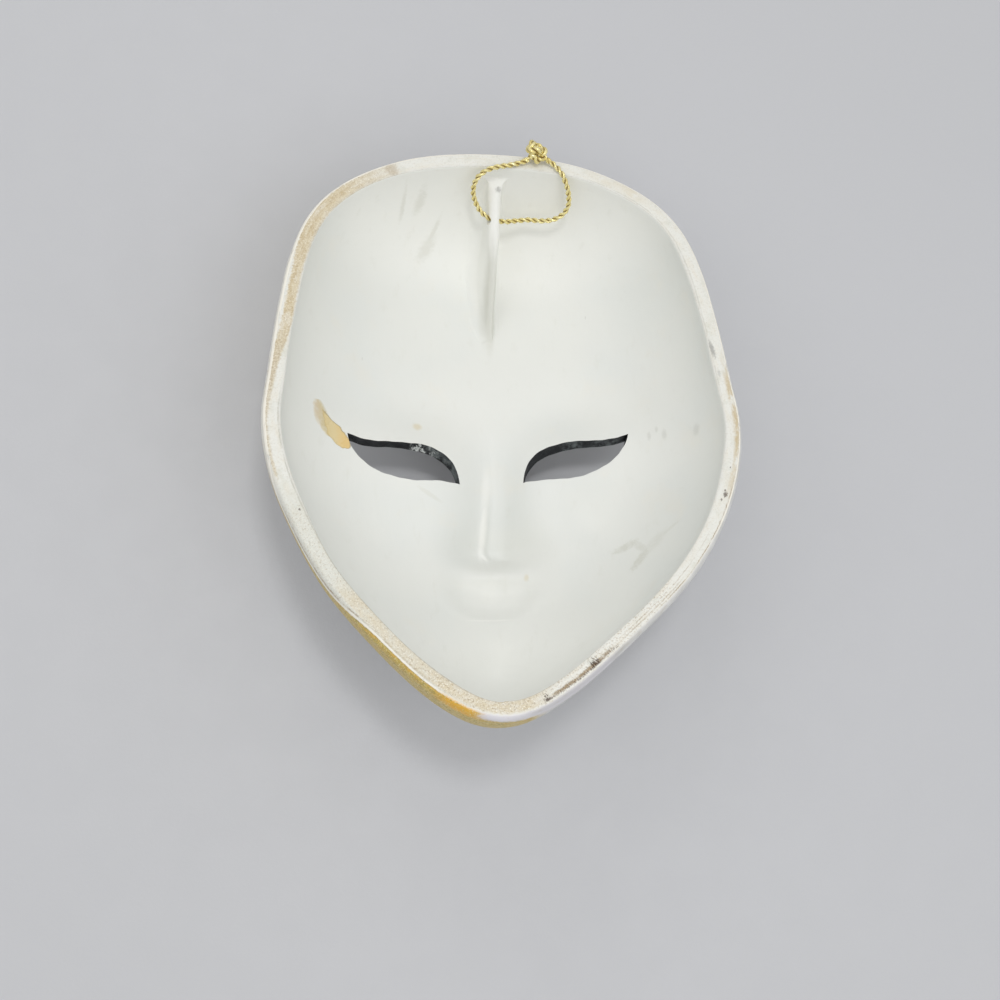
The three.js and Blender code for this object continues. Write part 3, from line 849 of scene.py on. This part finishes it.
def mouth(u, v, soft):
    f = faceShape
    face, side, curve = 1 - soft, np.abs(u), 0.01 * u * u
    height = 3.4 * bell(u, 17) * bell(v - f["mouth"], 11)
    height += (2.4 - 2.0 * soft) * bell(v - f["upperLip"] + 0.25 * curve, 2.2 + 1.3 * soft) \
        * (1 - smooth(6, 15, side)) * (1 - 0.25 * face * bell(u, 2.1))
    height += 3 * face * bell(v - f["lowerLip"] - curve, 2.7) * (1 - smooth(4, 13, side))
    height -= (1.7 - 1.3 * soft) * bell(v - f["mouth"] - 0.5 * curve, 1 + soft) \
        * (1 - smooth(8, 15.5, side))
    height -= 1.7 * face * bell(v - f["lipGroove"] - curve, 3.4) * bell(u, 11)
    height += f["chinHeight"] * bell(u, 10.5) * bell(v - f["chinBoss"], 6.5)
    return height


def hollowMarks(u, v):
    # inside only: the crease left of the nose, its step to the lips, and the bowl behind them
    line = -0.7 - 1.3 * smooth(20, 2, v) + 1.2 * smooth(1.6, -1.2, v)
    near = smooth(-2.4, -0.3, v) * (1 - 0.7 * smooth(9, 15, v)) * (1 - smooth(16, 24, v))
    height = 0.45 * (smooth(0.2, 2.0, u - line) - smooth(4.4, 7.5, u - line)) * near
    height -= 0.42 * bell(u - line, 0.95) * near
    bent = v - 0.035 * (u + 0.5) ** 2
    wide = 1 - smooth(6.0, 12.5, np.abs(u + 0.8))
    height += 1.3 * smooth(-17.8, -12.6, bent) * (1 - smooth(-11.0, -3.4, v)) * wide
    height -= 0.12 * bell(bent + 17.2, 1.0) * bell(u + 1, 8)
    return height


def features(u, v, soft):
    # soft is 0 on the face and 1 inside, where the casting shows the forms wider and lower
    f = faceShape
    side = np.abs(u)
    browLine = f["brow"] + 2.2 * smooth(4, 24, side) - 4.5 * smooth(24, 44, side)
    height = 1.6 * bell(u, 30) * bell(v - 52, 20)
    height += (f["browHeight"] - 0.8 * soft) * bell(v - browLine, 4.5 + 2 * soft) \
        * (1 - 0.5 * bell(u, 7)) * (1 - smooth(30, 44, side))
    height -= (f["socketDepth"] - 1.8 * soft) * bell(side - 19, 13) \
        * bell(v - f["eye"] - 0.2 * (side - 19), 9)
    height += (f["cheekHeight"] - 0.8 * soft) * bell(side - 29, 11) * bell(v - f["cheek"], 10)
    height -= (1.8 - 0.4 * soft) * bell(side - 25, 9) * bell(v + 17, 10)
    return height + nose(u, v, soft) + mouth(u, v, soft)


def faceDepth(u, v, s):
    return dome(s, wallShape["faceDepth"], wallShape["shoulder"][1]) \
        + features(u, v, 0.0) * (1 - smooth(*faceShape["fade"], s))


def hollowDepth(u, v, s):
    return dome(s, wallShape["hollowDepth"], wallShape["lip"][1]) \
        + (features(u, v, 1.0) + hollowMarks(u, v)) * (1 - smooth(*faceShape["fade"], s))


def outlinePoints():
    look = wallShape
    half = look["halfOutline"]
    corners = half + [(-u, v) for u, v in half[-2:0:-1]]
    count = len(half) - 1
    steps = [look["lowSteps"] if max(half[i][1], half[i + 1][1]) <= look["widest"] else look["highSteps"]
             for i in range(count)]
    places = smoothCurve(corners, steps + steps[::-1], closed=True)
    along = np.roll(places, -1, 0) - np.roll(places, 1, 0)
    along /= np.linalg.norm(along, axis=1)[:, None]
    out = np.stack([along[:, 1], -along[:, 0]], 1)
    v = places[:, 1]
    low, middle, high = look["spine"]
    up = np.clip((v - look["chin"]) / (look["widest"] - look["chin"]), 0, 1) ** look["spineBend"]
    down = np.clip((look["crown"] - v) / (look["crown"] - look["widest"]), 0, 1) ** look["spineBend"]
    foot = np.where(v <= look["widest"], low + (middle - low) * up, high - (high - middle) * down)
    lean = look["chinLean"] * smooth(-look["leanTop"], -look["chin"], -v)
    run = np.concatenate([[0], np.cumsum(np.linalg.norm(np.diff(places, axis=0), axis=1))])
    return places, out, foot, lean, run


def ringPoints(outline, s, inset, depth):
    # depth: a number, or what gives it for u, v and s
    places, out, foot, lean, _ = outline
    edge = places - np.asarray(inset)[..., None] * out
    u = edge[:, 0] * s
    v = foot + (edge[:, 1] - foot) * s
    down = depth(u, v, s) if callable(depth) else np.full(len(u), depth)
    return np.stack([u + lean * s, v, -down], 1)


def ringShares(count):
    return np.sin(np.arange(count + 1) / count * math.pi / 2) ** wallShape["ringSpread"]


def rimWidthAt(v, run):
    # a little narrower at the chin, and finished by hand
    waver = 0.10 * np.sin(run / 9.3 + 0.6) + 0.07 * np.sin(run / 4.1 + 2.0)
    return wallShape["rimWidth"] - wallShape["rimThinner"] * smooth(12, -30, v) + waver


def makeWall():
    look = wallShape
    outline = outlinePoints()
    places, *_, run = outline
    count = len(places)
    width = rimWidthAt(places[:, 1], run)
    shoulderIn, shoulderDown = look["shoulder"]
    lipIn, lipDown = look["lip"]
    rows, across, slots = [], [], []

    def addRow(points, value, slot):
        rows.append(points)
        across.append(np.broadcast_to(value, (count,)))
        slots.append(slot)

    for s in ringShares(look["outerRings"]):
        ring = ringPoints(outline, s, np.zeros(count), faceDepth)
        addRow(ring, ring[:, 2] + shoulderDown, 1)
    for share in np.arange(1, 9) / 8:
        turn = share * math.pi / 2
        inset = np.full(count, shoulderIn * (1 - math.cos(turn)))
        depth = shoulderDown * (1 - math.sin(turn))
        addRow(ringPoints(outline, 1.0, inset, depth), look["shoulderRun"] * share, 1)
    for share in (0.3, 0.65, 1.0):
        inset = shoulderIn + (width - lipIn - shoulderIn) * share
        place = look["shoulderRun"] + inset - shoulderIn
        addRow(ringPoints(outline, 1.0, inset, look["flatDip"] * (1 - share)), place, 1)
    flatEnd = across[-1]
    for share in (1 / 3, 2 / 3):
        turn = share * math.pi / 2
        inset = width - lipIn * (1 - math.sin(turn))
        addRow(ringPoints(outline, 1.0, inset, lipDown * (1 - math.cos(turn))), flatEnd + 0.75 * share, 1)
    for s in ringShares(look["innerRings"])[::-1]:
        ring = ringPoints(outline, s, width, hollowDepth)
        addRow(ring, flatEnd + 0.3 - ring[:, 2], 0)

    vertices = toRow(np.concatenate(rows))
    vertices[:, 2] = np.maximum(vertices[:, 2], 0)    # the flat spots that it lies on
    total = run[-1] + np.linalg.norm(places[0] - places[-1])
    left = np.tile(run[:count], (len(rows), 1))
    right = np.tile(np.append(run[1:count], total), (len(rows), 1))
    uv = cornerPairs(left, np.array(across), right, np.roll(across, -1, 1)) / 1000
    print(f"rim {total:.1f} mm round")
    return closeSeams(addObject("castFace", vertices, ringFaces(len(rows), count),
                                [clay, rimPaint, eyePaint], np.repeat(slots[1:], count), uv))


eyeShape = {
    # cut by hand, so the two differ: u is counted outwards from the nose
    1: {"inner": (7.1, 16.9), "topPulls": ((8.5, 30.0), (24, 22.2)), "outer": (31.4, 25.8),
        "lowPulls": ((30.0, 17.8), (18, 12.4))},          # the right one
    -1: {"inner": (7.6, 16.2), "topPulls": ((9.5, 28.9), (24, 20.7)), "outer": (33.3, 24.2),
         "lowPulls": ((32.6, 15.2), (18, 12.2))},         # the left one
    "steps": 40, "waver": 0.05,
    "levels": (4.0, -25.0, -45.0),
    "slant": 0.72,            # the cut runs this much down for each mm through the wall
}


def bezier(a, b, c, d, steps):
    t = (np.arange(steps) / steps)[:, None]
    a, b, c, d = (np.array(p, float) for p in (a, b, c, d))
    return a * (1 - t) ** 3 + 3 * b * t * (1 - t) ** 2 + 3 * c * t * t * (1 - t) + d * t ** 3


def eyeCutter(side):
    look = eyeShape[side]
    top = bezier(look["inner"], *look["topPulls"], look["outer"], eyeShape["steps"])
    low = bezier(look["outer"], *look["lowPulls"], look["inner"], eyeShape["steps"])
    loop = np.concatenate([top, low])
    k = np.arange(len(loop))
    loop[:, 1] += eyeShape["waver"] * (np.sin(k * 0.55 + side) + np.sin(k * 1.37))
    loop[:, 0] *= side
    levels = eyeShape["levels"]
    vertices = np.concatenate([
        np.column_stack([loop + [0, min(w - levels[1], 0) * eyeShape["slant"]], np.full(len(loop), w)])
        for w in levels])
    return closeSeams(addObject("eyeCutter", toRow(vertices), closedTube(3, len(loop)), [eyePaint]))


finShape = {
    "top": (82.5, -3.7), "foot": (51.6, -30.0), "start": -0.03, "steps": 90,
    "places": (0, 0.35, 0.6, 1),     # shares of the way down the ridge, for the rows below, in mm
    "halfThickness": (1.50, 1.25, 0.80, 0.45), "lean": (0.40, 0.80, 0.95, 0.85),
    "leftDraft": (0.3, 1.2, 3.2, 2.2),
    "leftFillet": (1.6, 2.6, 2.8, 2.4), "rightFillet": (1.6, 1.8, 2.2, 2.2),
    "flare": 1.20, "flareLength": 0.026,      # the top spreads this much, over this share of the ridge
    "sunk": 1.3,                              # its foot goes this far into the wall
    "hole": 1.25, "holeSides": 28, "holeReach": 6,
}


def hollowAtMiddle(v):
    high = wallShape["spine"][2]
    reach = wallShape["crown"] - wallShape["rimWidth"] - high
    s = np.clip((v - high) / reach, 0, 1)
    return hollowDepth(np.zeros(1), np.array([v]), np.array([s]))[0]


def makeFin():
    look = finShape
    top, foot = np.array(look["top"]), np.array(look["foot"])
    along = (foot - top) / np.linalg.norm(foot - top)
    into = np.array([-along[1], along[0]])        # from the ridge to the wall behind it
    rows = []
    innerEdge = wallShape["crown"] - wallShape["rimWidth"]
    for i in range(look["steps"] + 1):
        t = look["start"] + (1 - look["start"]) * i / look["steps"]
        ridge = top + (foot - top) * t
        height = 0.0
        while height < 30:
            v, w = ridge + into * height
            if v > innerEdge or -w > hollowAtMiddle(v):
                break
            height += 0.05
        base = ridge + into * height
        thick, lean, draft, left, right = (np.interp(t, look["places"], look[k]) for k in (
            "halfThickness", "lean", "leftDraft", "leftFillet", "rightFillet"))
        thick *= 1 + 0.07 * math.sin(9 * t + 0.5) + 0.05 * math.sin(23 * t)
        thick += look["flare"] * math.exp(-(max(t, 0) / look["flareLength"]) ** 2)
        cap = min(thick, 0.7 * height + 0.05)
        halves = []
        for radius, slope in ((right, 0.0), (left, draft)):
            radius = min(radius, 0.7 * height + 0.15)
            level = max(height - cap, radius)
            half = []
            for a in np.linspace(0, math.pi / 2, 9):         # concave foot
                half.append((thick + radius * (1 - math.sin(a)), radius * (1 - math.cos(a))))
            half += [(thick, radius + (level - radius) * share) for share in (0.33, 0.66)]
            for a in np.linspace(0, math.pi / 2, 8):         # rounded ridge
                half.append((thick * math.cos(a), level + (height - level) * math.sin(a)))
            half = [(half[0][0] + 0.2, -look["sunk"])] + half
            halves.append([(x + slope * max(0, 1 - y / max(height, 0.5)), y) for x, y in half])
        section = halves[0] + [(-x, y) for x, y in reversed(halves[1][:-1])]
        for x, y in section:
            v, w = base - into * y
            rows.append((x + lean, v, w))
    faces = closedTube(look["steps"] + 1, len(section))
    return closeSeams(addObject("fin", toRow(rows), faces, [clay]))


def finBore():
    v, w = cordLook["finHole"][1:]
    look = finShape
    turn = 2 * math.pi * np.arange(look["holeSides"]) / look["holeSides"]
    radius = look["hole"] * (1 + 0.05 * np.sin(3 * turn + 1))
    vertices = np.concatenate([
        np.column_stack([np.full(len(turn), u), v + radius * np.cos(turn), w + radius * np.sin(turn)])
        for u in (-look["holeReach"], look["holeReach"])])
    return closeSeams(addObject("bore", toRow(vertices), closedTube(2, len(turn)), [clay]))


castFace = makeWall()
combine(castFace, makeFin(), "UNION")
for cutter in (finBore(), eyeCutter(1), eyeCutter(-1)):
    combine(castFace, cutter, "DIFFERENCE")
castFace.data.polygons.foreach_set("use_smooth", np.ones(len(castFace.data.polygons), bool))
castFace.data.set_sharp_from_angle(angle=math.radians(48))
triangles = sum(len(p.vertices) - 2 for p in castFace.data.polygons)
print(f"cast face made, {triangles} triangles, materials {[m.name for m in castFace.data.materials]}")

for piece, node, slot in ((castFace, "mask_shell", "ceramic"), (cord, "hanging_cord", "gold_cord"),
                          (knot, "cord_knot", "gold_cord")):
    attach(piece, "root")
    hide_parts(node)
tuple(toRow([cordLook["finHole"]])[0])
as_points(cordPath)


# Floor and light

studio = {
    "floor": "c4c5c8", "floorPatches": 0.96, "floorReach": 9, "sky": 0.585,
    "overhead": {"place": (0.0, 0.10, 0.76), "size": 0.11, "power": 1.08},
    "left": {"place": (-0.43, 0.0, 0.61), "size": 0.5, "power": 0.50},
    "right": {"place": (0.43, 0.0, 0.61), "size": 0.5, "power": 0.20},
    "front": {"place": (0.215, -0.37, 0.61), "size": 0.5, "power": 0.85},
    "back": {"place": (-0.18, 0.49, 0.56), "size": 0.3, "power": 0.38},
}


def makeFloor():
    n = Nodes("paleFloor", {"pale": studio["floor"]})
    place = n.objectPlace()
    pale = n.colours["pale"]
    darker = tuple(studio["floorPatches"] * c for c in pale[:3]) + (1.0,)
    n.finish(n.mix(n.noise(place, 0.12, 3), pale, darker),
             n.ramp(n.noise(place, 0.01, 3), 0.3, 0.7, 0.55, 0.7),
             n.bump(n.noise(place, 0.0008, 3), 0.0001, 0.3))
    r = studio["floorReach"]
    corners = [(-r, -r, 0), (r, -r, 0), (r, r, 0), (-r, r, 0)]
    addObject("floor", corners, [(0, 1, 2, 3)], [n.material])


def makeLight(name, look):
    data = bpy.data.lights.new(name, "AREA")
    data.shape = "SQUARE"
    data.size = look["size"]
    data.energy = look["power"]
    light = bpy.data.objects.new(name, data)
    light.location = look["place"]
    light.rotation_euler = (Vector((0, 0, 0.02)) - light.location).to_track_quat("-Z", "Y").to_euler()
    bpy.context.collection.objects.link(light)


makeFloor()
for name in ("overhead", "left", "right", "front", "back"):
    makeLight(name, studio[name])
world = bpy.data.worlds.new("studio")
world.use_nodes = True
world.node_tree.nodes["Background"].inputs["Color"].default_value = (1, 1, 1, 1)
world.node_tree.nodes["Background"].inputs["Strength"].default_value = studio["sky"]
bpy.context.scene.world = world
bpy.context.scene.view_settings.view_transform = "Standard"
print("floor and light set")
